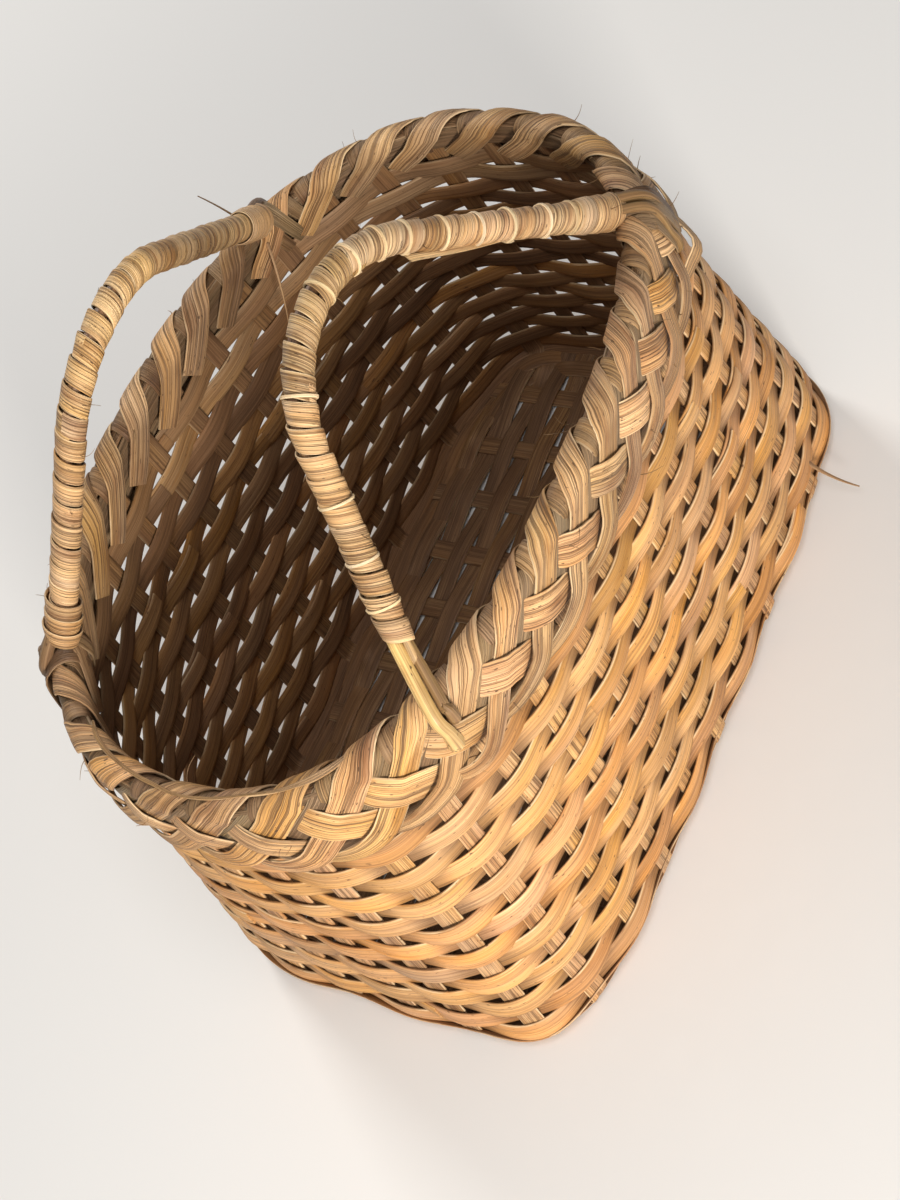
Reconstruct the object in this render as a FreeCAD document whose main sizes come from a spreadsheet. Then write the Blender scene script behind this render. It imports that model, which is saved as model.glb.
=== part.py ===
"""A deep woven harvest basket with two bow handles, as a parametric FreeCAD document.

Ten cross stakes and six long stakes turn up from a plaited base into 32 uprights. Courses of flat
weaver go round them, a pair of hoops clamps their tops, splints plaited over the hoops finish the
rim, and two wrapped bows of cane are hooked over the long sides. +Z is up, X runs along the basket,
and the origin is the centre of the underside. All lengths are millimetres.
"""

import FreeCAD, Part
import math
import os
from bisect import bisect_right

import Sketcher
from FreeCAD import Vector

SHEET_VALUES = {
    # mouth and base are superellipses and the wall is straight between them
    "mouth_half_length": 200.0,
    "mouth_half_width": 136.0,
    "mouth_power": 2.33,
    "base_half_length": 217.0,
    "base_half_width": 128.0,
    "base_power": 5.6,
    "wall_height": 252.0,
    "wall_sag": 5.0,
    # flat splints
    "splint_thickness": 1.9,
    "weave_swing": 2.2,
    "stake_width": 11.0,
    "stake_top": 246.0,
    "stake_bend": 5.0,
    "filler_width": 11.6,
    "filler_end_gap": 5.0,
    "crossing_flat": 7.0,
    "weaver_height": 12.1,
    "course_pitch": 12.6,
    "first_course_bottom": 9.0,
    # rim
    "hoop_bottom": 224.0,
    "hoop_top": 247.5,
    "hoop_inner_face": 1.8,
    "hoop_thickness": 2.6,
    "plait_width": 14.0,
    "plait_thickness": 1.6,
    "plait_rise": 0.8,
    # handles, with feet measured from the middle of the basket and slopes from the lip
    "front_left_foot": -127.0,
    "front_right_foot": 145.0,
    "front_left_slope": 58.0,
    "front_right_slope": 49.0,
    "front_bow_radius": 70.0,
    "back_left_foot": -146.0,
    "back_right_foot": 122.0,
    "back_left_slope": 54.0,
    "back_right_slope": 47.0,
    "back_bow_radius": 65.0,
    "handle_lean": 21.0,
    "wrap_radius": 7.7,
    "wrap_thickness": 1.4,
    "wrap_short_gap": 15.0,
    "wrap_long_gap": 32.0,
    "wrap_cover": 2.0,
    "binding_thickness": 2.0,
    "binding_length": 24.0,
    "binding_clearance": 0.2,
    "binding_overhang": 4.0,
    "rod_radius": 3.0,
    "rod_offset": 3.15,
    "core_rod_radius": 1.6,
    "core_rod_offset": 4.4,
    # where two canes hook over the lip and end in the weave
    "hook_radius": 5.0,
    "hook_leg_run": 13.0,
    "hook_outset": 15.8,
    "hook_top": 256.0,
    "hook_bottom": 209.0,
    "hook_tail_bottom": 197.0,
    "hook_tail_outset": 7.6,
}
LONG_SIDE_STAKES = 10
SHORT_SIDE_STAKES = 6
STAKES = 2 * (LONG_SIDE_STAKES + SHORT_SIDE_STAKES)
COURSES = 17
FILLERS_BETWEEN_STAKES = 2
OUTLINE_SAMPLES = 2880
POINTS_PER_STAKE = 6
UP = Vector(0, 0, 1)

doc = FreeCAD.newDocument("harvest_basket")
sheet = doc.addObject("Spreadsheet::Sheet", "sheet")
for row, (alias, value) in enumerate(SHEET_VALUES.items(), start=1):
    sheet.set(f"A{row}", alias)
    sheet.set(f"B{row}", str(value))
    sheet.setAlias(f"B{row}", alias)
doc.recompute()

nodes = []


def size(alias):
    """A driving dimension, read from the sheet."""
    return float(sheet.get(alias))


def keep(obj, label):
    """Gives a sub-part its own name and lists it for export."""
    obj.Label = label
    nodes.append(obj)
    return obj


def feature(label, shape):
    """A sub-part whose shape comes from Part's own functions."""
    obj = doc.addObject("Part::Feature", label)
    obj.Shape = shape
    return keep(obj, label)


# ---------------------------------------------------------------- the wall as a surface


class Outline:
    """A superellipse whose points are found by their share of its length, from +X towards +Y."""

    def __init__(self, half_length, half_width, power):
        self.points = []
        for i in range(OUTLINE_SAMPLES + 1):
            angle = 2 * math.pi * i / OUTLINE_SAMPLES
            c, s = math.cos(angle), math.sin(angle)
            reach = (abs(c / half_length) ** power + abs(s / half_width) ** power) ** (-1 / power)
            self.points.append(Vector(reach * c, reach * s, 0))
        self.lengths = [0.0]
        for a, b in zip(self.points, self.points[1:]):
            self.lengths.append(self.lengths[-1] + (b - a).Length)

    def at(self, share):
        target = (share % 1.0) * self.lengths[-1]
        i = min(bisect_right(self.lengths, target), OUTLINE_SAMPLES) - 1
        part = (target - self.lengths[i]) / (self.lengths[i + 1] - self.lengths[i])
        return self.points[i] + (self.points[i + 1] - self.points[i]) * part

    def share_near(self, point):
        gaps = [math.hypot(*(own - point)[:2]) for own in self.points]
        nearest = gaps.index(min(gaps))
        return self.lengths[nearest] / self.lengths[-1]


mouth = Outline(size("mouth_half_length"), size("mouth_half_width"), size("mouth_power"))
base = Outline(size("base_half_length"), size("base_half_width"), size("base_power"))


def wall_middle(share, z):
    """The wall's mid-surface. The lip is a little higher on the long sides than at the ends."""
    rise = z / size("wall_height")
    point = base.at(share) * (1 - rise) + mouth.at(share) * rise
    return Vector(point.x, point.y, z - size("wall_sag") * rise * math.cos(4 * math.pi * share))


def wall_frame(share, z):
    """Mid-surface point, tangent along the wall and outward normal."""
    step = 0.2 / STAKES
    along = wall_middle(share + step, z) - wall_middle(share - step, z)
    along.normalize()
    rise = wall_middle(share, z + 1) - wall_middle(share, z - 1)
    normal = along.cross(rise)
    normal.normalize()
    return wall_middle(share, z), along, normal


def on_wall(share, z, outset):
    """A point level with the wall at z and a distance outside its mid-surface."""
    point, along, _ = wall_frame(share, z)
    level = along.cross(UP)
    level.normalize()
    return point + level * outset


def stake_share(k):
    return (k + 0.5) / STAKES


# ---------------------------------------------------------------- general solids


def closed_solid(faces):
    shell = Part.makeShell(faces)
    shell.sewShape()
    solid = Part.makeSolid(shell)
    if solid.Volume < 0:
        solid.reverse()
    return solid


def wall_band(z_low, z_high, inner, outer, swing, phase):
    """A closed band round the wall that swings in and out past each stake in turn."""

    def edge(z, outset):
        points = []
        for i in range(STAKES * POINTS_PER_STAKE):
            turn = i / POINTS_PER_STAKE
            wave = swing * math.sin(math.pi * (turn + phase))
            points.append(on_wall(turn / STAKES, z, outset + wave))
        curve = Part.BSplineCurve()
        curve.interpolate(Points=points, PeriodicFlag=True)
        return curve.toShape()

    low_in, low_out = edge(z_low, inner), edge(z_low, outer)
    high_in, high_out = edge(z_high, inner), edge(z_high, outer)
    pairs = [(low_in, high_in), (low_out, high_out), (low_in, low_out), (high_in, high_out)]
    return closed_solid([Part.makeRuledSurface(a, b) for a, b in pairs])


def quad(a, b, c, d):
    """A face on four corners: flat where they lie in one plane, ruled where the splint twists."""
    level = (b - a).cross(d - a)
    level.normalize()
    if abs((c - a).dot(level)) < 1e-6:
        return Part.Face(Part.makePolygon([a, b, c, d, a]))
    return Part.makeRuledSurface(Part.makeLine(a, b), Part.makeLine(d, c))


def ribbon(stations, width, thickness):
    """A flat splint through stations of (point, width direction, thickness direction)."""
    loops = []
    for point, across, through in stations:
        w, t = across * (width / 2), through * (thickness / 2)
        loops.append([point - w - t, point + w - t, point + w + t, point - w + t])
    faces = [quad(*loops[0]), quad(*loops[-1])]
    for a, b in zip(loops, loops[1:]):
        faces += [quad(a[i - 1], a[i], b[i], b[i - 1]) for i in range(4)]
    return closed_solid(faces)


def rounded_wire(points, radii):
    """Straight runs through points, with a tangent arc of the given radius at each inner point."""
    edges, start = [], points[0]
    for before, corner, after, radius in zip(points, points[1:], points[2:], radii):
        back, ahead = before - corner, after - corner
        back.normalize()
        ahead.normalize()
        half = back.getAngle(ahead) / 2
        reach = radius / math.tan(half)
        middle_way = back + ahead
        middle_way.normalize()
        arc_start, arc_end = corner + back * reach, corner + ahead * reach
        arc_middle = corner + middle_way * (radius / math.sin(half) - radius)
        edges.append(Part.makeLine(start, arc_start))
        edges.append(Part.Arc(arc_start, arc_middle, arc_end).toShape())
        start = arc_end
    edges.append(Part.makeLine(start, points[-1]))
    return Part.Wire(edges)


def rod_along(wire, radius):
    """A round cane along a wire."""
    first = wire.Edges[0]
    start = first.valueAt(first.FirstParameter)
    heading = first.tangentAt(first.FirstParameter)
    section = Part.Wire([Part.makeCircle(radius, start, heading)])
    return wire.makePipeShell([section], True, True)


# ---------------------------------------------------------------- base and stakes

FLOOR_Z = size("weave_swing") + size("splint_thickness") / 2


def turn_up(share, across, inward):
    """Stations from a stake's top down the wall and round the bend to its run across the base."""
    bend, top = size("stake_bend"), size("stake_top")
    heel = FLOOR_Z + bend
    stations = []
    for part in (1.0, 0.75, 0.5, 0.25, 0.0):
        point, along, normal = wall_frame(share, heel + (top - heel) * part)
        stations.append((point, along if along.dot(across) > 0 else along * -1, normal))
    corner, along, normal = stations[-1]
    for degrees in (30, 60):
        c, s = math.cos(math.radians(degrees)), math.sin(math.radians(degrees))
        point = corner + inward * (bend * (1 - c)) - UP * (bend * s)
        side = along * c + across * s
        side.normalize()
        through = normal * c - UP * s
        stations.append((point, side, through - side * through.dot(side)))
    foot = corner + inward * bend
    stations.append((Vector(foot.x, foot.y, FLOOR_Z), across, UP * -1))
    return stations


def stake_crossings():
    """Where the cross stakes lie along the base, from +X to -X."""
    first = SHORT_SIDE_STAKES // 2
    return [base.at(stake_share(first + i)).x for i in range(LONG_SIDE_STAKES)]


def plaited_run(y, reach, phase):
    """Stations of a splint that passes over one cross stake and under the next, from +X to -X."""
    half_flat = size("crossing_flat")
    stations = []
    for i, x in enumerate(stake_crossings()):
        if abs(x) + half_flat > reach:
            reach = min(reach, abs(x) - half_flat)
            continue
        z = FLOOR_Z + size("weave_swing") * (1 if (i + phase) % 2 else -1)
        for edge in (x + half_flat, x - half_flat):
            stations.append((Vector(edge, y, z), Vector(0, 1, 0), UP * -1))
    return stations, reach


def base_splints():
    """Cross stakes, long stakes plaited through them, and short fillers plaited between those."""
    width, thick = size("stake_width"), size("splint_thickness")
    half_short = SHORT_SIDE_STAKES // 2
    for i in range(LONG_SIDE_STAKES):
        share = stake_share(half_short + i)
        back = turn_up(share, Vector(1, 0, 0), Vector(0, -1, 0))
        front = turn_up(-share, Vector(1, 0, 0), Vector(0, 1, 0))
        shape = ribbon(back + front[::-1], width, thick)
        feature(f"cross_stake_{LONG_SIDE_STAKES - i:02d}", shape)

    long_y = [base.at(stake_share(i - half_short)).y for i in range(SHORT_SIDE_STAKES)]
    steps = FILLERS_BETWEEN_STAKES + 1
    for i, y in enumerate(long_y):
        share = stake_share(i - half_short)
        right = turn_up(share, Vector(0, 1, 0), Vector(-1, 0, 0))
        left = turn_up(0.5 - share, Vector(0, 1, 0), Vector(1, 0, 0))
        run, _ = plaited_run(y, right[-1][0].x, i * steps)
        feature(f"long_stake_{i + 1:02d}", ribbon(right + run + left[::-1], width, thick))

    rows = []
    for i, (y, beyond) in enumerate(zip(long_y, long_y[1:])):
        for j in range(1, steps):
            rows.append((y + (beyond - y) * j / steps, i * steps + j))
    edge_gap = (long_y[-1] - long_y[-2]) / steps
    rows += [(long_y[0] - edge_gap, -1), (long_y[-1] + edge_gap, SHORT_SIDE_STAKES * steps - 2)]
    fillers = []
    for y, phase in rows:
        fullness = (abs(y) + size("filler_width") / 2) / size("base_half_width")
        power = size("base_power")
        reach = size("base_half_length") * (1 - fullness**power) ** (1 / power)
        reach -= size("filler_end_gap")
        run, reach = plaited_run(y, reach, phase)
        ends = [(Vector(x, y, FLOOR_Z), Vector(0, 1, 0), UP * -1) for x in (reach, -reach)]
        fillers.append(ribbon(ends[:1] + run + ends[1:], size("filler_width"), thick))
    feature("base_filler_strips", Part.makeCompound(fillers))


# ---------------------------------------------------------------- weaving and rim


def weaver_courses():
    """Each course is one closed band that passes outside one stake and inside the next."""
    half = size("splint_thickness") / 2
    for i in range(COURSES):
        low = size("first_course_bottom") + i * size("course_pitch")
        high = low + size("weaver_height")
        band = wall_band(low, high, -half, half, size("weave_swing"), i % 2)
        feature(f"weaver_course_{i + 1:02d}", band)


def rim_hoops():
    near = size("hoop_inner_face")
    far = near + size("hoop_thickness")
    low, high = size("hoop_bottom"), size("hoop_top")
    feature("outer_rim_hoop", wall_band(low, high, near, far, 0, 0))
    feature("inner_rim_hoop", wall_band(low, high, -far, -near, 0, 0))


def plait_ribbon(first_turn, route):
    """A plait splint through (turn, z, outset, roll) points.

    roll is 0 where its face looks out of the basket, 90 where it looks up and 180 where it looks in.
    """
    centres = [on_wall((first_turn + turn) / STAKES, z, outset) for turn, z, outset, _ in route]
    stations = []
    for i, (turn, z, _, roll) in enumerate(route):
        heading = centres[min(i + 1, len(route) - 1)] - centres[max(i - 1, 0)]
        heading.normalize()
        normal = wall_frame((first_turn + turn) / STAKES, z)[2]
        face = normal * math.cos(math.radians(roll)) + UP * math.sin(math.radians(roll))
        side = heading.cross(face)
        side.normalize()
        stations.append((centres[i], side, side.cross(heading)))
    return ribbon(stations, size("plait_width"), size("plait_thickness"))


def rim_plait():
    """Per stake, a splint folds over the hoops and slants down, one crosses it and one loops on the lip."""
    top = size("wall_height") + size("plait_rise")
    slanting = [
        (0.28, 226, -6.4, 180),
        (0.22, 243, -6.4, 180),
        (0.18, top - 1.6, -4.8, 135),
        (0.14, top, 0.0, 90),
        (0.10, top - 1.6, 4.8, 45),
        (0.02, 243, 6.4, 0),
        (-0.30, 228, 7.0, 0),
        (-0.62, 212, 7.6, 0),
    ]
    crossing = [(-0.62, 237, 9.8, 0), (-0.36, 226, 10.4, 0), (-0.06, 214, 11.0, 0)]
    loop = [(0.44, top - 1.2, 3.0, 60), (0.64, top + 0.4, 0.0, 90), (0.84, top - 1.2, -3.0, 120)]
    for name, route in (("slanting", slanting), ("crossing", crossing), ("lip", loop)):
        splints = [plait_ribbon(k + 0.5, route) for k in range(STAKES)]
        feature(f"rim_plait_{name}_splints", Part.makeCompound(splints))


# ---------------------------------------------------------------- handles


class Handle:
    """A bow that stands on the lip, with its own along and up directions."""

    def __init__(self, name, side):
        self.name, self.side = name, side
        self.slopes = [math.radians(size(f"{name}_{end}_slope")) for end in ("left", "right")]
        feet = [self.lip_point(size(f"{name}_{end}_foot")) for end in ("left", "right")]
        self.origin = feet[0]
        self.along = feet[1] - feet[0]
        self.span = self.along.Length
        self.along.normalize()
        inward = UP.cross(self.along) * -side
        lean = math.radians(size("handle_lean"))
        self.up = inward * math.sin(lean) + UP * math.cos(lean)
        self.out = self.along.cross(self.up)

    def lip_point(self, x):
        power = size("mouth_power")
        part = abs(x) / size("mouth_half_length")
        y = self.side * size("mouth_half_width") * (1 - part**power) ** (1 / power)
        return Vector(x, y, size("wall_height"))

    def place(self, x, up, out=0.0):
        return self.origin + self.along * x + self.up * up + self.out * out

    def foot(self, end, offset):
        """How far along a leg meets the lip line, for a rod offset towards the outside of the bow."""
        sign = (-1, 1)[end]
        return end * self.span + sign * offset / math.sin(self.slopes[end])

    def on_leg(self, end, offset, distance):
        """In-plane point on a leg, a distance up it from the lip line."""
        sign = (1, -1)[end]
        slope = self.slopes[end]
        return self.foot(end, offset) + sign * distance * math.cos(slope), distance * math.sin(slope)

    def peak(self, offset):
        """Where the two legs would meet if the bow were not rounded."""
        left, right = self.foot(0, offset), self.foot(1, offset)
        rise_left, rise_right = (math.tan(slope) for slope in self.slopes)
        x = (rise_left * left + rise_right * right) / (rise_left + rise_right)
        return x, (x - left) * rise_left

    def radius(self, offset):
        return size(f"{self.name}_bow_radius") + offset

    def core_rod(self, out):
        """A cane that stays inside the wrapping."""
        start = size("wrap_short_gap") + size("wrap_cover")
        ends = [self.place(*self.on_leg(end, 0, start), out) for end in (0, 1)]
        points = [ends[0], self.place(*self.peak(0), out), ends[1]]
        return rod_along(rounded_wire(points, [self.radius(0)]), size("core_rod_radius"))

    def hooked_rod(self, offset):
        """A cane that carries on over the lip, down the outside of the rim and into the weave."""
        hooks = []
        for end in (0, 1):
            share = mouth.share_near(self.place(self.foot(end, offset), 0))
            tail = on_wall(share, size("hook_tail_bottom"), size("hook_tail_outset"))
            low = on_wall(share, size("hook_bottom"), size("hook_outset"))
            high = on_wall(share, size("hook_top"), size("hook_outset"))
            hooks.append([tail, low, high, self.place(*self.on_leg(end, offset, size("hook_leg_run")))])
        points = hooks[0] + [self.place(*self.peak(offset))] + hooks[1][::-1]
        bends = [size("hook_radius")] * 3
        return rod_along(rounded_wire(points, bends + [self.radius(offset)] + bends), size("rod_radius"))

    def placement(self):
        """Puts a body drawn in its own XZ plane onto the bow's plane."""
        rotation = FreeCAD.Rotation(self.along, self.out * -1, self.up, "XZY")
        return FreeCAD.Placement(self.origin, rotation)

    def wrap(self, gaps):
        """The wrapped skin: a ring swept along one leg, round the bow and down the other leg."""
        label = f"{self.name}_handle_wrap"
        body = doc.addObject("PartDesign::Body", label)
        planes = {f.Role: f for f in body.Origin.OriginFeatures}
        starts = [Vector(*self.on_leg(end, 0, size(gaps[end])), 0) for end in (0, 1)]
        wire = rounded_wire([starts[0], Vector(*self.peak(0), 0), starts[1]], [self.radius(0)])
        curve = wire.Edges[1].Curve
        bends = [wire.Edges[1].Vertexes[i].Point for i in (0, 1)]

        spine = body.newObject("Sketcher::SketchObject", label + "_spine")
        spine.AttachmentSupport = (planes["XZ_Plane"], [""])
        spine.MapMode = "FlatFace"
        spine.addGeometry(Part.LineSegment(starts[0], bends[0]), False)
        circle = Part.Circle(curve.Center, UP, curve.Radius)
        first, last = math.pi / 2 - self.slopes[1], math.pi / 2 + self.slopes[0]
        spine.addGeometry(Part.ArcOfCircle(circle, first, last))
        spine.addGeometry(Part.LineSegment(bends[1], starts[1]), False)
        spine.addConstraint(Sketcher.Constraint("Radius", 1, curve.Radius))
        spine.renameConstraint(0, "bow_radius")
        spine.setExpression("Constraints.bow_radius", f"sheet.{self.name}_bow_radius")

        section = body.newObject("Sketcher::SketchObject", label + "_section")
        section.AttachmentSupport = (planes["XY_Plane"], [""])
        section.MapMode = "FlatFace"
        tilt = FreeCAD.Rotation(Vector(0, 1, 0), 90 - math.degrees(self.slopes[0]))
        section.AttachmentOffset = FreeCAD.Placement(Vector(starts[0].x, 0, starts[0].y), tilt)
        rules = ("sheet.wrap_radius", "sheet.wrap_radius - sheet.wrap_thickness")
        for i, rule in enumerate(rules):
            reach = size("wrap_radius") - i * size("wrap_thickness")
            section.addGeometry(Part.Circle(Vector(0, 0, 0), UP, reach), False)
            section.addConstraint(Sketcher.Constraint("Radius", i, reach))
            section.renameConstraint(i, f"ring_{i}")
            section.setExpression(f"Constraints.ring_{i}", rule)
        doc.recompute()

        pipe = body.newObject("PartDesign::AdditivePipe", label + "_skin")
        pipe.Profile = section
        pipe.Spine = spine
        body.Placement = self.placement()
        doc.recompute()
        return keep(body, label)

    def binding(self, end, gap):
        """A second, thicker layer of wrapping where a leg meets the rim."""
        label = f"{self.name}_handle_{('left', 'right')[end]}_binding"
        x, up = self.on_leg(end, 0, size(gap) - size("binding_overhang"))
        further = self.on_leg(end, 0, size(gap))
        start, heading = self.place(x, up), self.place(*further) - self.place(x, up)
        sleeves = []
        for name, rule in (("outer", " + sheet.binding_thickness"), ("inner", "")):
            cylinder = doc.addObject("Part::Cylinder", f"{label}_{name}")
            cylinder.setExpression("Radius", "sheet.wrap_radius + sheet.binding_clearance" + rule)
            cylinder.setExpression("Height", "sheet.binding_length")
            sleeves.append(cylinder)
        sleeve = doc.addObject("Part::Cut", label)
        sleeve.Base, sleeve.Tool = sleeves
        sleeve.Placement = FreeCAD.Placement(start, FreeCAD.Rotation(UP, heading))
        doc.recompute()
        return keep(sleeve, label)


def handles():
    front, back = Handle("front", -1), Handle("back", 1)
    front.wrap(("wrap_long_gap", "wrap_short_gap"))
    back.wrap(("wrap_short_gap", "wrap_short_gap"))
    front.binding(1, "wrap_short_gap")
    back.binding(0, "wrap_short_gap")
    back.binding(1, "wrap_short_gap")
    for handle in (front, back):
        feature(f"{handle.name}_handle_upper_rod", handle.hooked_rod(size("rod_offset")))
        feature(f"{handle.name}_handle_lower_rod", handle.hooked_rod(-size("rod_offset")))
        feature(f"{handle.name}_handle_core_rod", handle.core_rod(size("core_rod_offset")))


# ---------------------------------------------------------------- build, check, write

base_splints()
weaver_courses()
rim_hoops()
rim_plait()
handles()
doc.recompute()

for obj in doc.Objects:
    if {"Invalid", "Error"} & set(obj.State):
        raise SystemExit(f"{obj.Label} failed: {obj.State}")
for obj in nodes:
    if obj.Shape.isNull() or not obj.Shape.isValid() or not obj.Shape.Solids:
        raise SystemExit(f"{obj.Label} has a bad shape")

os.makedirs("parts", exist_ok=True)
for obj in nodes:
    obj.Shape.exportStep(f"parts/{obj.Label}.step")
    print(obj.Label, len(obj.Shape.Solids), round(obj.Shape.Volume))
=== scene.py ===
"""A deep woven harvest basket: its splints, plaited rim, wrapped bows and loose fibres.

Sizes are in millimetres and meshes are written in metres. The basket stands on z = 0 with X along its
length. A turn is the distance between two stakes, counted round the wall from +X towards +Y.
"""

import math
import random

import bpy
import numpy as np
from mathutils import Euler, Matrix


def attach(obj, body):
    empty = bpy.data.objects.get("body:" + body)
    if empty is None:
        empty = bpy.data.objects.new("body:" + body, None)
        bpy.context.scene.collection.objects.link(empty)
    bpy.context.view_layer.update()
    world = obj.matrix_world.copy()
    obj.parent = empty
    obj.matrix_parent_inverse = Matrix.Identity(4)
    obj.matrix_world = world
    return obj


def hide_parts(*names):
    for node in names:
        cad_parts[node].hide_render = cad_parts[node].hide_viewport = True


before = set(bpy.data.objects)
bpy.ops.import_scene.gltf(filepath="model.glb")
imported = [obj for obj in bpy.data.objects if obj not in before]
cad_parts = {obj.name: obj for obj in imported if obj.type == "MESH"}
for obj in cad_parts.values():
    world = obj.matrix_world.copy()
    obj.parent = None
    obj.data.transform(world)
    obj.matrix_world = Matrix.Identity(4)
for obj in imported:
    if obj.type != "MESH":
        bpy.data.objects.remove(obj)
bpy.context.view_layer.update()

MM = 0.001
UP = np.array([0.0, 0.0, 1.0])
# The mouth and the base are superellipses: half length, half width and power.
MOUTH = (200.0, 136.0, 2.33)
BASE = (217.0, 128.0, 5.6)
OUTLINE_POINTS = 2881
WALL_HEIGHT, WALL_SAG = 252.0, 5.0
LONG_SIDE_STAKES, SHORT_SIDE_STAKES = 10, 6
STAKES = 2 * (LONG_SIDE_STAKES + SHORT_SIDE_STAKES)
TURN_LENGTH = 34.2  # of one turn along the mouth
COURSES, COURSE_PITCH, FIRST_COURSE = 17, 12.6, 9.0
WEAVER_WIDTH, WEAVER_THICKNESS, WEAVE_SWING = 13.7, 2.0, 2.5
TUCK, TUCK_TURNS = 1.3, 1.2  # how far a weaver's ends move in and out, and over how many turns
STAKE_WIDTH, STAKE_THICKNESS, STAKE_TOP, STAKE_BEND = 12.0, 1.9, 244.0, 5.0
# Stakes, like every splint, are darker on their inner face, partly patina and partly painted shade of the
# basket's inside.
STAKE_STAIN_AND_SHADE = (0.1, 0.8)  # on its outer and inner face, as for every splint
BASE_Z, BASE_SWING = 3.15, 2.2
HANDLE_LEAN = math.radians(21)


def unit(v):
    return v / np.linalg.norm(v, axis=-1, keepdims=True)


def smooth(t):
    t = np.clip(t, 0, 1)
    return t * t * (3 - 2 * t)


def run_along(points):
    """The length of a line up to each of its points."""
    return np.concatenate([[0], np.cumsum(np.linalg.norm(np.diff(points, axis=0), axis=1))])


def evenly(points, step):
    """The same line with its points a step apart."""
    run = run_along(points)
    even = np.arange(0, run[-1], step)
    return np.column_stack([np.interp(even, run, column) for column in points.T])


WAVES = ((0.37, 0.5), (0.83, 0.35), (1.9, 0.2))


def wobble(rng, t, size, pace=1.0):
    """A slow random wave of about the given size, with its own phase each time."""
    return size * sum(part * np.sin(t * pace * rate + rng.uniform(0, 6.28)) for rate, part in WAVES)


# ---------------------------------------------------------------- the wall as a surface


def half_chord(half_across, half_along, power, away):
    """Half of a superellipse's chord that runs along it, this far away from its middle."""
    return half_along * (1 - (away / half_across) ** power) ** (1 / power)


class Outline:
    """A superellipse whose points are found by their share of its length."""

    def __init__(self, half_length, half_width, power):
        angle = np.linspace(0, 2 * np.pi, OUTLINE_POINTS)
        c, s = np.cos(angle), np.sin(angle)
        reach = (abs(c / half_length) ** power + abs(s / half_width) ** power) ** (-1 / power)
        self.xy = np.stack([reach * c, reach * s], axis=1)
        steps = np.linalg.norm(np.diff(self.xy, axis=0), axis=1)
        self.share = np.concatenate([[0], np.cumsum(steps)]) / steps.sum()

    def at(self, share):
        """The point at a share of the way round."""
        share = np.mod(share, 1)
        return np.stack([np.interp(share, self.share, self.xy[:, i]) for i in (0, 1)], axis=-1)

    def share_near(self, point):
        """The share of the outline's point that is nearest to this one."""
        return self.share[np.argmin(np.linalg.norm(self.xy - point[:2], axis=1))]


mouth, base = Outline(*MOUTH), Outline(*BASE)


def wall_middle(turn, z):
    """Points in the middle of the wall's thickness. The lip dips at the middle of the long sides."""
    turn, z = np.broadcast_arrays(np.asarray(turn, float), np.asarray(z, float))
    share, rise = turn / STAKES, z / WALL_HEIGHT
    xy = base.at(share) * (1 - rise)[..., None] + mouth.at(share) * rise[..., None]
    height = z - WALL_SAG * rise * np.cos(4 * np.pi * share)
    return np.concatenate([xy, height[..., None]], axis=-1)


def wall_along(turn, z):
    """A step along the wall, towards the next turn."""
    return wall_middle(turn + 0.2, z) - wall_middle(turn - 0.2, z)


def wall_rise(turn, z):
    """The direction up the wall."""
    return unit(wall_middle(turn, z + 1) - wall_middle(turn, z - 1))


def wall_level(turn, z):
    """The level direction out of the wall."""
    return unit(np.cross(wall_along(turn, z), UP))


def on_wall(turn, z, outset):
    """Points that stand out of the wall's middle by outset."""
    turn = np.asarray(turn, float)
    return wall_middle(turn, z) + wall_level(turn, z) * np.asarray(outset, float)[..., None]


# ---------------------------------------------------------------- splints as meshes

# The section of a splint: half of its outline, across its width and through its thickness.
SECTION_V = np.array([-1.0, -0.9, -0.5, 0.0, 0.5, 0.9, 1.0])
SECTION_H = np.array([0.35, 0.9, 1.0, 0.95, 1.0, 0.9, 0.35])
RING_V = np.concatenate([SECTION_V, SECTION_V[::-1]])
RING_H = np.concatenate([SECTION_H, -SECTION_H[::-1]])
RING = len(RING_V)
SHARP_ANGLE = math.radians(48)
GRAIN_SHIFT = 9.0  # each splint's grain starts this many metres along, or less


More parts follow.
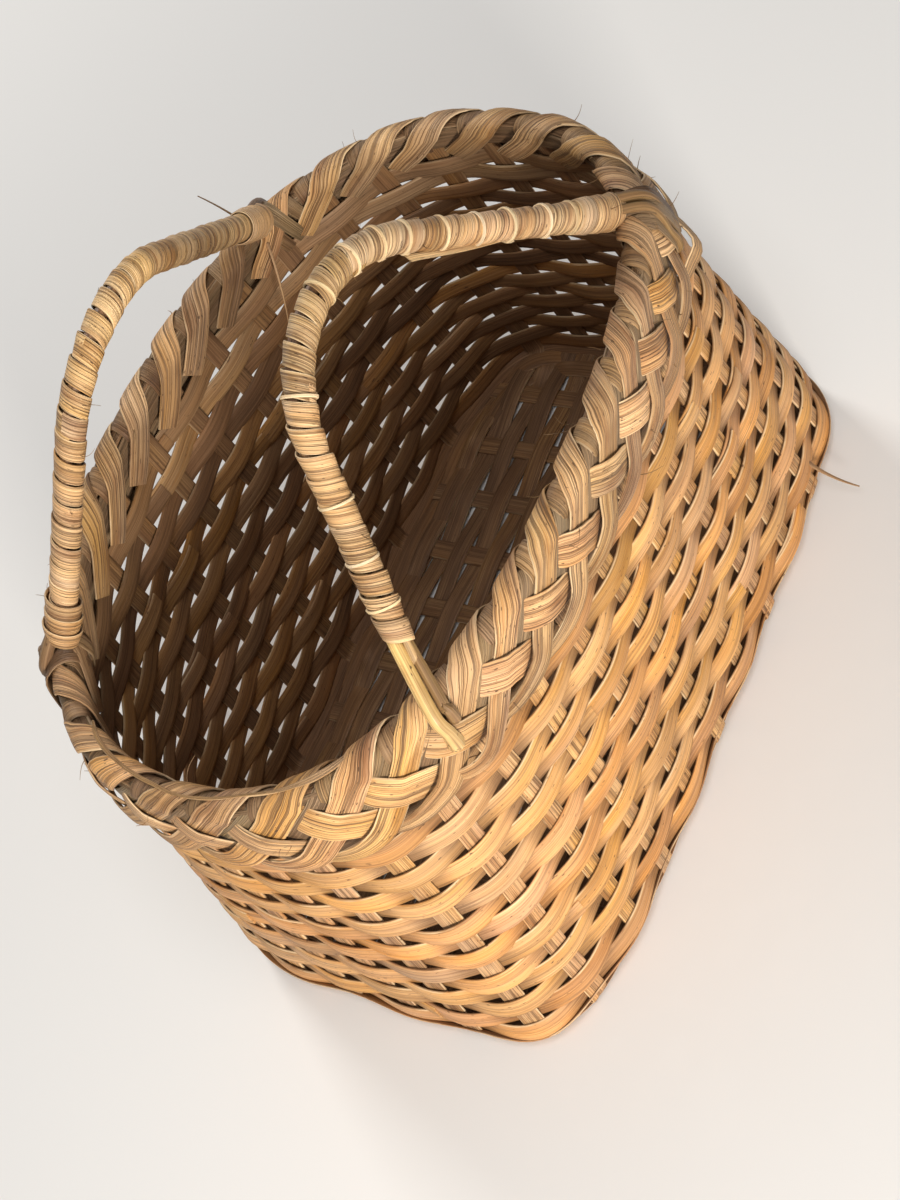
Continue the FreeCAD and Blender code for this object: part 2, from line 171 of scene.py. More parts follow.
class Splints:
    """Gathers splints, canes and fibres into one mesh, with grain coordinates and a tone for each."""

    def __init__(self, seed):
        self.rng = random.Random(seed)
        self.points, self.faces, self.grain, self.tones = [], [], [], []
        self.total = 0

    def _rings(self, points, grain, tones):
        """points is (stations, ring, 3). Neighbouring stations are joined all the way round."""
        stations, ring = points.shape[:2]
        start = self.total
        self.points.append(points.reshape(-1, 3))
        self.tones.append(tones.reshape(-1, 3))
        self.total += stations * ring
        for i in range(stations - 1):
            for j in range(ring):
                k = (j + 1) % ring
                a, b = start + i * ring, start + (i + 1) * ring
                self.faces.append((a + j, a + k, b + k, b + j))
                self.grain += [grain[i][j], grain[i][j + 1], grain[i + 1][j + 1], grain[i + 1][j]]
        for i in (0, stations - 1):
            self.faces.append(tuple(start + i * ring + j for j in range(ring)))
            self.grain += [grain[i][j] for j in range(ring)]

    def flat(self, centre, across, through, width, thickness, age=0.0, stain_and_shade=(0.0, 0.35), crown=0.0):
        """A flat splint. stain is how dark its outer and inner faces are, from stains and painted shade,
        age how grey it is.
        """
        count = len(centre)
        width = np.broadcast_to(np.asarray(width, float), (count,))
        across, through = unit(across), unit(through)
        v, h = RING_V[None, :, None], RING_H[None, :, None]
        drop = crown * v**2 * width[:, None, None]
        points = centre[:, None] + across[:, None] * v * width[:, None, None] / 2
        points = points + through[:, None] * (h * thickness / 2 - drop)
        self.ribbon(points, age, stain_and_shade)

    def ribbon(self, points, age, stain_and_shade):
        """A flat splint from its rings of points."""
        count = len(points)
        run = run_along(points.mean(axis=1)) * MM + self.rng.uniform(0, GRAIN_SHIFT)
        share = (np.append(RING_V, RING_V[0]) + 1) / 2
        grain = [[(u, s) for s in share] for u in run]
        tones = np.empty((count, RING, 3))
        tones[..., 0], tones[..., 1] = self.rng.random(), age
        outer, inner = (np.broadcast_to(np.asarray(x, float), (count,)) for x in stain_and_shade)
        tones[..., 2] = np.where(RING_H > 0, outer[:, None], inner[:, None])
        self._rings(points, grain, tones)

    def round(self, centre, radius, age, stain_and_shade, sides):
        """A round cane or fibre."""
        count = len(centre)
        radius = np.broadcast_to(np.asarray(radius, float), (count,))
        heading = unit(np.gradient(centre, axis=0))
        side = np.empty_like(heading)
        # Off UP a little, so that an upright line has a side too.
        side[0] = unit(np.cross(heading[0], UP + 0.01))
        for i in range(1, count):
            side[i] = unit(side[i - 1] - heading[i] * np.dot(side[i - 1], heading[i]))
        other = np.cross(heading, side)
        angle = np.arange(sides) * 2 * np.pi / sides
        c, s = np.cos(angle)[None, :, None], np.sin(angle)[None, :, None]
        points = centre[:, None] + (side[:, None] * c + other[:, None] * s) * radius[:, None, None]
        run = run_along(centre) * MM + self.rng.uniform(0, GRAIN_SHIFT)
        grain = [[(u, j / sides) for j in range(sides + 1)] for u in run]
        tones = np.empty((count, sides, 3))
        tones[..., 0], tones[..., 1], tones[..., 2] = self.rng.random(), age, stain_and_shade
        self._rings(points, grain, tones)

    def piece(self, name, material, slot, *nodes):
        """Makes the object, lets it ride on the basket and stand for CAD nodes."""
        mesh = bpy.data.meshes.new(name)
        mesh.from_pydata((np.concatenate(self.points) * MM).tolist(), [], self.faces)
        layer = mesh.uv_layers.new(name="splint")
        layer.data.foreach_set("uv", np.asarray(self.grain, np.float32).ravel())
        tone = mesh.attributes.new("tone", "FLOAT_COLOR", "POINT")
        tones = np.column_stack([np.concatenate(self.tones), np.ones(self.total)])
        tone.data.foreach_set("color", tones.astype(np.float32).ravel())
        mesh.polygons.foreach_set("use_smooth", [True] * len(mesh.polygons))
        mesh.set_sharp_from_angle(angle=SHARP_ANGLE)
        mesh.materials.append(material)
        obj = bpy.data.objects.new(name, mesh)
        bpy.context.scene.collection.objects.link(obj)
        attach(obj, "root")
        if nodes:
            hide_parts(*nodes)
        return obj


# ---------------------------------------------------------------- materials


class Tree:
    """A short way to wire up shader nodes."""

    def __init__(self, name):
        self.material = bpy.data.materials.new(name)
        self.material.use_nodes = True
        self.nodes, self.links = self.material.node_tree.nodes, self.material.node_tree.links
        self.shader = self.nodes["Principled BSDF"]

    def add(self, kind, inputs=(), **settings):
        node = self.nodes.new(kind)
        for key, value in settings.items():
            setattr(node, key, value)
        for key, value in dict(inputs).items():
            self.put(node.inputs[key], value)
        return node

    def put(self, socket, value):
        if isinstance(value, bpy.types.NodeSocket):
            self.links.new(value, socket)
        else:
            socket.default_value = value

    def math(self, operation, a, b=0.0, clamp=False):
        node = self.add("ShaderNodeMath", {0: a, 1: b}, operation=operation, use_clamp=clamp)
        return node.outputs[0]

    def mix(self, factor, a, b):
        node = self.add("ShaderNodeMix", data_type="RGBA")
        for index, value in ((0, factor), (6, a), (7, b)):
            self.put(node.inputs[index], value)
        return node.outputs[2]

    def span(self, value, low, high, to_low=0.0, to_high=1.0):
        inputs = {0: value, 1: low, 2: high, 3: to_low, 4: to_high}
        return self.add("ShaderNodeMapRange", inputs).outputs[0]

    def noise(self, x, y, z, detail):
        place = self.add("ShaderNodeCombineXYZ", {0: x, 1: y, 2: z}).outputs[0]
        inputs = {"Vector": place, "Scale": 1.0, "Detail": detail, "Roughness": 0.6}
        return self.add("ShaderNodeTexNoise", inputs).outputs["Fac"]


CUT_EDGE = (0.84, 0.62, 0.36, 1)
HAIR_LINE, GROOVE_LINE, SPECK = (0.20, 0.095, 0.032, 1), (0.09, 0.038, 0.013, 1), (0.05, 0.02, 0.008, 1)
AGED = ((0.13, 0.105, 0.055, 1), (0.42, 0.35, 0.21, 1))
# The brown that stains and painted shade darken a splint towards.
PATINA_AND_SHADE = ((0.04, 0.018, 0.008, 1), (0.24, 0.12, 0.055, 1))


def cane(name, pale, middle, deep, grooves=5.0, lined=0.8, rough=0.6, bump=0.5):
    """Split cane: long fibres, irregular grooves, pale cut edges, dark specks, and a brown that is partly
    stains from use and partly painted shade.

    pale, middle and deep are its fresh colours. grooves is how many dark lines run along it and lined is
    how dark they are.
    """
    tree = Tree(name)
    place = tree.add("ShaderNodeUVMap", uv_map="splint").outputs[0]
    split = tree.add("ShaderNodeSeparateXYZ", {0: place}).outputs
    u, v = split[0], split[1]
    tone = tree.add("ShaderNodeAttribute", attribute_name="tone").outputs["Color"]
    own, age, stain_and_shade = tree.add("ShaderNodeSeparateColor", {0: tone}).outputs[:3]
    seed = tree.math("MULTIPLY", own, 40.0)

    def grain(along, over, detail=3.0):
        """Noise with so many features in a metre along the splint and over its width."""
        return tree.noise(tree.math("MULTIPLY", u, along), tree.math("MULTIPLY", v, over), seed, detail)

    def veins(along, over, thin):
        """Thin wandering lines that run with the fibres."""
        away = tree.math("ABSOLUTE", tree.math("SUBTRACT", grain(along, over, 2.0), 0.5))
        return tree.span(away, thin, 0.0)

    fibre = grain(16.0, 26.0, 5.0)
    fine = grain(45.0, 80.0, 2.0)
    blotch = grain(26.0, 1.6)
    slow = grain(7.0, 0.4)
    groove = veins(3.0, grooves, 0.05)
    hair = veins(5.0, 3.0 * grooves, 0.05)

    # Fresh colour, which differs a little from splint to splint and along each one.
    colour = tree.mix(tree.span(fibre, 0.36, 0.66), middle, pale)
    colour = tree.mix(tree.math("MULTIPLY", tree.span(blotch, 0.47, 0.70), lined), colour, deep)
    hue = tree.add("ShaderNodeHueSaturation", {"Color": colour})
    tree.put(hue.inputs["Hue"], tree.span(own, 0.0, 1.0, 0.4935, 0.5035))
    tree.put(hue.inputs["Saturation"], tree.span(slow, 0.3, 0.7, 0.86, 1.14))
    tree.put(hue.inputs["Value"], tree.span(grain(4.0, 0.2), 0.32, 0.68, 0.70, 1.22))
    # Dark lines, greying, cut edges, specks and a brown that is partly handling and partly painted shade,
    # each over the last.
    colour = tree.mix(tree.math("MULTIPLY", hair, 0.9 * lined), hue.outputs[0], HAIR_LINE)
    colour = tree.mix(tree.math("MULTIPLY", groove, lined), colour, GROOVE_LINE)
    grey = tree.mix(tree.span(fibre, 0.35, 0.65), *AGED)
    colour = tree.mix(tree.math("MULTIPLY", age, tree.span(blotch, 0.2, 0.7, 1.0, 0.6)), colour, grey)
    edge = tree.span(tree.math("ABSOLUTE", tree.math("SUBTRACT", v, 0.5)), 0.455, 0.485)
    edge = tree.math("MULTIPLY", edge, tree.span(grain(24.0, 0.5), 0.45, 0.56))
    colour = tree.mix(tree.math("MULTIPLY", edge, 0.75), colour, CUT_EDGE)
    speck = tree.span(grain(230.0, 11.0, 1.0), 0.70, 0.75)
    colour = tree.mix(tree.math("MULTIPLY", speck, 0.8), colour, SPECK)
    # The tone's third channel is partly stains and partly painted shade, where splints are tucked,
    # covered or face into the basket.
    dirt_and_shade = tree.math("MULTIPLY", stain_and_shade, tree.span(slow, 0.3, 0.7, 1.15, 0.8), clamp=True)
    patina_shade = tree.mix(tree.span(fibre, 0.3, 0.72), *PATINA_AND_SHADE)
    colour = tree.mix(dirt_and_shade, colour, patina_shade)

    # Relief and gloss.
    height = tree.math("SUBTRACT", tree.math("MULTIPLY", fibre, 0.9), tree.math("MULTIPLY", groove, 0.5))
    height = tree.math("ADD", height, tree.math("MULTIPLY", fine, 0.35))
    bumps = tree.add("ShaderNodeBump", {"Strength": bump, "Distance": 0.0007, "Height": height})
    tree.put(tree.shader.inputs["Base Color"], colour)
    tree.put(tree.shader.inputs["Roughness"], tree.span(fibre, 0.3, 0.7, rough + 0.1, rough - 0.08))
    tree.put(tree.shader.inputs["Normal"], bumps.outputs[0])
    tree.shader.inputs["Specular IOR Level"].default_value = 0.35
    return tree.material


WEAVER_CANE = cane(
    "weaver_cane",
    pale=(0.80, 0.44, 0.17, 1),
    middle=(0.64, 0.31, 0.10, 1),
    deep=(0.38, 0.15, 0.042, 1),
    grooves=3.0,
    lined=0.42,
)
STAKE_CANE = cane(
    "stake_cane",
    pale=(0.80, 0.50, 0.23, 1),
    middle=(0.56, 0.29, 0.11, 1),
    deep=(0.28, 0.115, 0.038, 1),
)
RIM_CANE = cane(
    "rim_cane",
    pale=(0.90, 0.56, 0.26, 1),
    middle=(0.68, 0.36, 0.13, 1),
    deep=(0.36, 0.15, 0.044, 1),
    grooves=8.0,
    lined=0.9,
    rough=0.55,
    bump=0.9,
)
WRAP_CANE = cane(
    "wrap_cane",
    pale=(0.92, 0.64, 0.34, 1),
    middle=(0.66, 0.38, 0.16, 1),
    deep=(0.36, 0.165, 0.06, 1),
    rough=0.45,
    bump=1.0,
)
EDGE_CANE = cane(
    "edge_cane",
    pale=(0.93, 0.74, 0.46, 1),
    middle=(0.86, 0.62, 0.34, 1),
    deep=(0.5, 0.3, 0.13, 1),
    grooves=2.0,
    lined=0.3,
)
ROD_CANE = cane(
    "rod_cane",
    pale=(0.82, 0.60, 0.29, 1),
    middle=(0.64, 0.41, 0.17, 1),
    deep=(0.34, 0.16, 0.06, 1),
    grooves=3.0,
    lined=0.5,
    rough=0.42,
)


# ---------------------------------------------------------------- base and stakes


def stake_turn(k):
    """The middle of the k-th stake, since the rim's folds are at whole turns."""
    return k + 0.5


def turn_up(rng, turn, across, inward):
    """Points, width and thickness directions of a stake from its top down to the base."""
    heel = BASE_Z + STAKE_BEND
    z = np.linspace(STAKE_TOP + rng.uniform(-6, 2), heel, 44)
    lean = wobble(rng, z / 40, 0.06)
    middle = on_wall(turn + lean, z, wobble(rng, z / 30, 0.5))
    along = unit(wall_along(turn, z))
    along = along * np.sign(along @ across)[:, None]
    out = wall_level(np.full_like(z, turn), z)
    corner, side, normal = middle[-1], along[-1], out[-1]
    for angle in np.linspace(0, math.pi / 2, 6)[1:]:
        c, s = math.cos(angle), math.sin(angle)
        point = corner + inward * STAKE_BEND * (1 - c) - UP * STAKE_BEND * s
        middle = np.vstack([middle, point])
        along = np.vstack([along, unit(side * c + across * s)])
        out = np.vstack([out, unit(normal * c - UP * s)])
    return middle, along, out


def crossings():
    """Where the cross stakes lie along the base, from -X to +X."""
    first = SHORT_SIDE_STAKES // 2
    shares = (first + np.arange(LONG_SIDE_STAKES) + 0.5) / STAKES
    return np.sort(base.at(shares)[:, 0])


def plaited_run(rng, y, start, end, phase):
    """A splint plaited over and under the cross stakes, between two x values."""
    x = np.linspace(start, end, max(8, int(abs(end - start) / 4)))
    places = crossings()
    gap = places[1] - places[0]
    places = np.concatenate([[places[0] - gap], places, [places[-1] + gap]])
    order = np.interp(x, places, np.arange(-1, len(places) - 1))
    z = BASE_Z + BASE_SWING * np.cos(np.pi * (order + phase))
    ends = smooth(abs(x - start) / 14) * smooth(abs(x - end) / 14)
    z = BASE_Z + (z - BASE_Z) * ends
    return np.column_stack([x, y + wobble(rng, x / 40, 0.7), z])


def long_rows():
    """y of each long stake, and of the fillers as (y, plaiting order)."""
    half = SHORT_SIDE_STAKES // 2
    stakes = base.at((np.arange(SHORT_SIDE_STAKES) - half + 0.5) / STAKES)[:, 1]
    fillers = []
    for i, (y, beyond) in enumerate(zip(stakes, stakes[1:])):
        fillers += [(y + (beyond - y) * j / 3, 3 * i + j) for j in (1, 2)]
    step = (stakes[-1] - stakes[-2]) / 3
    return stakes, fillers + [(stakes[0] - step, -1), (stakes[-1] + step, 3 * SHORT_SIDE_STAKES - 2)]


def cross_stakes():
    """Ten splints that run up the front wall, across the base and up the back wall."""
    half = SHORT_SIDE_STAKES // 2
    across = np.array([1.0, 0.0, 0.0])
    for i in range(LONG_SIDE_STAKES):
        splint = Splints(100 + i)
        back = turn_up(splint.rng, stake_turn(half + i), across, np.array([0.0, -1.0, 0.0]))
        front = turn_up(splint.rng, -stake_turn(half + i), across, np.array([0.0, 1.0, 0.0]))
        between = np.linspace(back[0][-1], front[0][-1], 40)[1:-1]
        count = len(between)
        centre = np.vstack([back[0], between, front[0][::-1]])
        sides = np.vstack([back[1], np.tile(across, (count, 1)), front[1][::-1]])
        out = np.vstack([back[2], np.tile(-UP, (count, 1)), front[2][::-1]])
        width = STAKE_WIDTH + wobble(splint.rng, np.arange(len(centre)) / 8, 0.5)
        splint.flat(centre, sides, out, width, STAKE_THICKNESS, stain_and_shade=STAKE_STAIN_AND_SHADE)
        name = f"cross_stake_{LONG_SIDE_STAKES - i:02d}"
        splint.piece(name + "_splint", STAKE_CANE, "stake_splint", name)


def long_stakes():
    """Six splints that run up one end wall, through the base and up the other end wall."""
    half = SHORT_SIDE_STAKES // 2
    across = np.array([0.0, 1.0, 0.0])
    rows, _ = long_rows()
    for i, y in enumerate(rows):
        splint = Splints(200 + i)
        turn = stake_turn(i - half)
        right = turn_up(splint.rng, turn, across, np.array([-1.0, 0.0, 0.0]))
        left = turn_up(splint.rng, STAKES / 2 - turn, across, np.array([1.0, 0.0, 0.0]))
        run = plaited_run(splint.rng, y, right[0][-1][0], left[0][-1][0], 3 * i)[1:-1]
        count = len(run)
        centre = np.vstack([right[0], run, left[0][::-1]])
        sides = np.vstack([right[1], np.tile(across, (count, 1)), left[1][::-1]])
        out = np.vstack([right[2], np.tile(-UP, (count, 1)), left[2][::-1]])
        width = STAKE_WIDTH + wobble(splint.rng, np.arange(len(centre)) / 8, 0.5)
        splint.flat(centre, sides, out, width, STAKE_THICKNESS, stain_and_shade=STAKE_STAIN_AND_SHADE)
        name = f"long_stake_{i + 1:02d}"
        splint.piece(name + "_splint", STAKE_CANE, "stake_splint", name)


def base_fillers():
    """Short splints that close the base between the long stakes."""
    splints = Splints(300)
    for y, phase in long_rows()[1]:
        reach = half_chord(BASE[1], BASE[0], BASE[2], abs(y) + STAKE_WIDTH / 2) - 5
        run = plaited_run(splints.rng, y, reach, -reach, phase)
        across = np.tile([0.0, 1.0, 0.0], (len(run), 1))
        width = STAKE_WIDTH + wobble(splints.rng, run[:, 0] / 30, 0.5)
        # Its upper, inner face is darker: partly patina, partly painted shade.
        splints.flat(run, across, -np.tile(UP, (len(run), 1)), width, STAKE_THICKNESS, stain_and_shade=(0.2, 0.85))
    splints.piece("base_filler_splints", STAKE_CANE, "stake_splint", "base_filler_strips")


# Each ring's inset from the wall, rise, tilt in degrees and place in the plaiting.
EDGING_RINGS = ((1.2, 3.2, 50, 1), (8.0, 0.0, 0, 0), (18.0, 0.0, 0, 1))
EDGING_WIDTH, EDGING_THICKNESS, EDGING_SWING = 11.5, 1.5, 1.5


def base_edging():
    """Splints laid round the edge of the base, over and under the stakes, before the first course."""
    splints = Splints(340)
    for inset, rise, tilt, phase in EDGING_RINGS:
        turns = np.arange(0, STAKES + 0.6, 1 / 10)
        swing = EDGING_SWING * np.sin(np.pi * (turns + phase))
        out = wall_level(turns, np.full_like(turns, BASE_Z))
        c, s = math.cos(math.radians(tilt)), math.sin(math.radians(tilt))
        across, below = out * c + UP * s, out * s - UP * c
        centre = on_wall(turns, BASE_Z + rise, -inset + wobble(splints.rng, turns, 0.6))
        centre = centre - below * swing[:, None]
        # Its inner face is darker: partly patina, partly painted shade.
        splints.flat(centre, across, below, EDGING_WIDTH, EDGING_THICKNESS, stain_and_shade=(0.2, 0.9))
    splints.piece("base_edging_splints", WEAVER_CANE, "weaver_splint")


# ---------------------------------------------------------------- weaving


def weaver_length(splints, turns, low, phase, age):
    """One length of weaver, out over one stake and in behind the next.

    Its start tucks in behind the neighbouring length and its end lies over it.
    """
    rng = splints.rng
    ahead = smooth((turns[-1] - turns) / TUCK_TURNS)
    behind = smooth((turns - turns[0]) / TUCK_TURNS)
    swing = WEAVE_SWING * (1 + wobble(rng, turns, 0.12, 2.3))
    outset = swing * np.sin(np.pi * (turns + phase)) + TUCK * (1 - ahead) - TUCK * (1 - behind)
    z = low + COURSE_PITCH / 2 + 0.2 + wobble(rng, turns, 0.8, 1.4)
    centre = on_wall(turns, z, outset)
    rise = wall_rise(turns, z)
    tilt = wobble(rng, turns, 0.10, 2.0)[:, None]
    heading = unit(np.gradient(centre, axis=0))
    out = unit(np.cross(heading, rise))
    across, out = rise + out * tilt, out - rise * tilt
    width = WEAVER_WIDTH * (1 + wobble(rng, turns, 0.05, 1.7)) * (0.8 + 0.2 * ahead * behind)
    # Painted shade: the outer face darkens where the weaver goes in behind a stake. The inner face's
    # darkness is partly patina and partly painted shade.
    sunk_shade = smooth((0.3 - np.sin(np.pi * (turns + phase))) / 1.1)
    stain_and_shade = (rng.uniform(0, 0.12) + 0.55 * sunk_shade, rng.uniform(0.4, 0.92))
    splints.flat(centre, across, out, width, WEAVER_THICKNESS, age, stain_and_shade, crown=0.006)


WEAVER_OVERLAP, WEAVER_STEP = 1.3, 1 / 12  # turns
GREY_COURSES, GREY_AGE = 2, 0.55


def weaver_courses():
    """Seventeen courses, each of two lengths that overlap. The top ones have greyed most."""
    for i in range(COURSES):
        splints = Splints(400 + i)
        low = FIRST_COURSE + i * COURSE_PITCH
        start = splints.rng.uniform(0, STAKES)
        half = STAKES / 2
        for part in (0, 1):
            first, last = start + part * half, start + (part + 1) * half + WEAVER_OVERLAP
            turns = np.arange(first, last, WEAVER_STEP)
            grey = i >= COURSES - GREY_COURSES
            age = GREY_AGE if grey else max(0.0, splints.rng.uniform(-0.25, 0.2))
            weaver_length(splints, turns, low, i % 2, age)
        name = f"weaver_course_{i + 1:02d}"
        splints.piece(name + "_splint", WEAVER_CANE, "weaver_splint", name)


# ---------------------------------------------------------------- the handles' lines

LINE_STEP = 2.0


class Bow:
    """A bow handle: two sloping legs joined by an arc, standing on the lip and leaning inwards."""

    def __init__(self, name, side, feet, slopes, radius):
        self.name, self.side, self.radius = name, side, radius
        self.slopes = np.radians(slopes)
        ends = []
        for x in feet:
            y = side * half_chord(*MOUTH, abs(x))
            ends.append(np.array([x, y, WALL_HEIGHT]))
        self.origin = ends[0]
        self.span = float(np.linalg.norm(ends[1] - ends[0]))
        self.along = unit(ends[1] - ends[0])
        inward = np.cross(UP, self.along) * -side
        self.up = inward * math.sin(HANDLE_LEAN) + UP * math.cos(HANDLE_LEAN)
        self.out = np.cross(self.along, self.up)

    def foot_turn(self, end, offset=0.0):
        """The turn at which the bow, or a cane beside it, meets the lip."""
        sign = (-1, 1)[end]
        foot = self.place(end * self.span + sign * offset / math.sin(self.slopes[end]), 0)
        return mouth.share_near(foot) * STAKES

    def place(self, x, up, out=0.0):
        """Points from the left foot along the lip, up the leaning bow and out of its plane."""
        x, up, out = (np.asarray(value, float)[..., None] for value in (x, up, out))
        return self.origin + self.along * x + self.up * up + self.out * out

    def line(self, offset, gaps):
        """(x, up) points along the bow, offset outwards, which stop short of the lip by the gaps."""
        left, right = self.slopes
        foot_left = -offset / math.sin(left)
        foot_right = self.span + offset / math.sin(right)
        radius = self.radius + offset
        rise_left, rise_right = math.tan(left), math.tan(right)
        peak_x = (rise_left * foot_left + rise_right * foot_right) / (rise_left + rise_right)
        peak = np.array([peak_x, (peak_x - foot_left) * rise_left])
        half = (math.pi - left - right) / 2
        reach = radius / math.tan(half)
        way_left = np.array([-math.cos(left), -math.sin(left)])
        way_right = np.array([math.cos(right), -math.sin(right)])
        centre = peak + unit(way_left + way_right) * radius / math.sin(half)
        start = np.array([foot_left, 0]) - way_left * gaps[0]
        end = np.array([foot_right, 0]) - way_right * gaps[1]
        angles = np.linspace(math.pi / 2 + left, math.pi / 2 - right, 60)
        arc = centre + radius * np.column_stack([np.cos(angles), np.sin(angles)])
        bend_left, bend_right = peak + way_left * reach, peak + way_right * reach
        legs = np.linspace(start, bend_left, 40)[:-1], np.linspace(bend_right, end, 40)[1:]
        points = np.vstack([legs[0], arc, legs[1]])
        return evenly(points, LINE_STEP)


# Name, side of the basket, x of the two feet, slopes of the legs in degrees and radius of the arc.
BOWS = (
    Bow("front", -1, (-127.0, 145.0), (58.0, 49.0), 70.0),
    Bow("back", 1, (-146.0, 122.0), (54.0, 47.0), 65.0),
)


# ---------------------------------------------------------------- rim


def curve_through(points, samples):
    """A smooth line through rows of numbers (Catmull-Rom), evenly sampled in its own parameter."""
    points = np.asarray(points, float)
    padded = np.vstack([2 * points[0] - points[1], points, 2 * points[-1] - points[-2]])
    rows = []
    for t in np.linspace(0, len(points) - 1, samples):
        i = min(int(t), len(points) - 2)
        f = t - i
        p, q, r, s = padded[i : i + 4]
        row = 2 * q + (r - p) * f + (2 * p - 5 * q + 4 * r - s) * f**2 + (3 * q - p - 3 * r + s) * f**3
        rows.append(row / 2)
    return np.array(rows)


# The lip is rounded about a line this far below the top of the wall.
LIP_RADIUS, LIP_CENTRE = 5.5, 4.0
LIP_QUARTER = LIP_RADIUS * math.pi / 2
RIM_THICKNESS, RIM_CROWN = 1.4, 0.008


def round_rim(turn, way, reach):
    """Points on the rounded rim. way is the distance round it from the top of the lip, outside positive.

    reach is the distance from the wall's middle, and from the middle of the lip's rounding on top.
    """
    angle = np.clip(way, -LIP_QUARTER, LIP_QUARTER) / LIP_RADIUS
    below = np.maximum(abs(way) - LIP_QUARTER, 0)
    depth = LIP_CENTRE - reach * np.cos(angle) + below
    return on_wall(turn, WALL_HEIGHT - depth, reach * np.sin(angle))


def rim_splint(splints, first_turn, route, thickness, age, stain_and_shade, browner=0.0, samples=40):
    """A splint bent flat over the rim, through (turn, way round the rim, reach, width) points.

    browner is how much darker it grows from the top of the lip down into the basket, partly patina and
    partly painted shade of the inside.
    """
    line = curve_through(route, samples)
    turn, way, reach, width = (line[:, i, None] for i in range(4))
    turn = turn + first_turn
    along, over = np.gradient(turn, axis=0) * TURN_LENGTH, np.gradient(way, axis=0)
    step = np.hypot(along, over)
    side = RING_V[None] * width / 2
    height = RING_H[None] * thickness / 2 - RIM_CROWN * RING_V[None] ** 2 * width
    points = round_rim(turn - over / step * side / TURN_LENGTH, way + along / step * side, reach + height)
    splints.ribbon(points, age, (stain_and_shade[0] + browner * smooth(-way[:, 0] / 12), stain_and_shade[1]))


def jitter(rng, route):
    """The same route moved and turned a little as a whole, and each of its points very slightly."""
    shift, further = rng.uniform(-0.05, 0.05), rng.uniform(-1.0, 1.0)
    wide, steeper = rng.uniform(0.90, 1.06), rng.uniform(-1.6, 1.6)
    outer = rng.uniform(0, 0.6)
    middle = sum(point[0] for point in route) / len(route)
    moved = []
    for turn, way, reach, width in route:
        way += further + steeper * (turn - middle) + rng.uniform(-0.3, 0.3)
        moved.append((turn + shift, way, reach + outer, width * wide * rng.uniform(0.98, 1.02)))
    return moved


# Routes over the rim: turn, way round the rim from the top of the lip, reach and width.
SLANTING = [
    (1.14, -28.5, 6.2, 13.5),
    (0.98, -24, 7.4, 14.5),
    (0.72, -17.5, 8.2, 15),
    (0.48, -11.5, 8.2, 14.5),
    (0.23, -5, 8.2, 12.5),
    (0.0, 0.5, 8.2, 11.5),
    (-0.17, 5, 7.9, 13),
    (-0.34, 9.5, 7.4, 15.5),
    (-0.60, 19, 7.5, 15.5),
    (-0.84, 27.5, 7.2, 15.5),
    (-1.05, 34, 8.4, 15),
    (-1.30, 40.5, 10.4, 13.5),
    (-1.62, 44.5, 10.0, 11.5),
    (-1.92, 46, 8.4, 9),
    (-2.20, 45.5, 6.5, 6),
]
CROSSING = [
    (-1.17, 14.6, 4.6, 15.5),
    (-1.07, 17.6, 6.8, 17),
    (-0.95, 21.1, 8.6, 17.5),
    (-0.78, 25.4, 9.9, 17.5),
    (-0.64, 29.0, 9.4, 17.5),
    (-0.50, 32.8, 8.2, 17),
    (-0.32, 37.6, 6.4, 16),
    (-0.15, 42.1, 4.8, 13),
]
LIP_LOOP = [
    (0.60, -21, 5.4, 11),
    (0.57, -13, 5.8, 12.5),
    (0.54, -6, 6.0, 13),
    (0.50, 0, 6.0, 13),
    (0.46, 6, 6.0, 13),
    (0.42, 12, 5.8, 12),
    (0.38, 17, 5.4, 11),
]
BACKING = [
    (0.42, 4, 4.8, 11),
    (0.34, 8, 5.2, 12.5),
    (0.15, 14, 6.0, 13),
    (-0.05, 20.5, 6.2, 13),
    (-0.30, 28.5, 5.8, 12.5),
    (-0.50, 35.5, 4.8, 11),
]
LIP_STRAND = [
    (13.9, -5, 8.2, 0.9),
    (14.3, -2.6, 8.8, 1.6),
    (15.0, -1.4, 8.7, 1.3),
    (15.7, -0.4, 8.9, 1.2),
    (16.1, 0.6, 8.5, 0.9),
    (16.7, 0.2, 8.8, 0.9),
    (17.3, -0.8, 8.5, 0.9),
    (17.9, 0.3, 8.8, 1.2),
    (18.4, 0.4, 8.8, 2.2),
    (18.8, -0.4, 8.5, 1.8),
    (19.1, -3.5, 6.0, 1.2),
]
LASHING = [
    (-0.20, -31.6, 4.5, 7),
    (-0.14, -19.6, 9.6, 8),
    (-0.08, -8.0, 9.4, 9),
    (-0.03, -2.5, 10.0, 10),
    (0.02, 3.0, 10.8, 10),
    (0.07, 7.0, 12.4, 10),
    (0.11, 10.5, 14.0, 10),
    (0.15, 22.6, 14.4, 9.5),
    (0.19, 34.6, 13.0, 8.5),
    (0.23, 43.6, 6.0, 6),
]
CANE_LIFT, CANE_REACH = 6.5, 0.32  # how far, and within how many turns of a cane


def over_canes(route, first_turn, cane_turns):
    """Lifts a splint's lower end over the tips of the handle canes that are tucked behind it."""
    lifted = []
    for turn, way, reach, width in route:
        for cane_turn in cane_turns:
            away = (first_turn + turn - cane_turn + STAKES / 2) % STAKES - STAKES / 2
            reach += CANE_LIFT * math.exp(-((away / CANE_REACH) ** 2)) * smooth((way - 33) / 8)
        lifted.append((turn, way, reach, width))
    return lifted


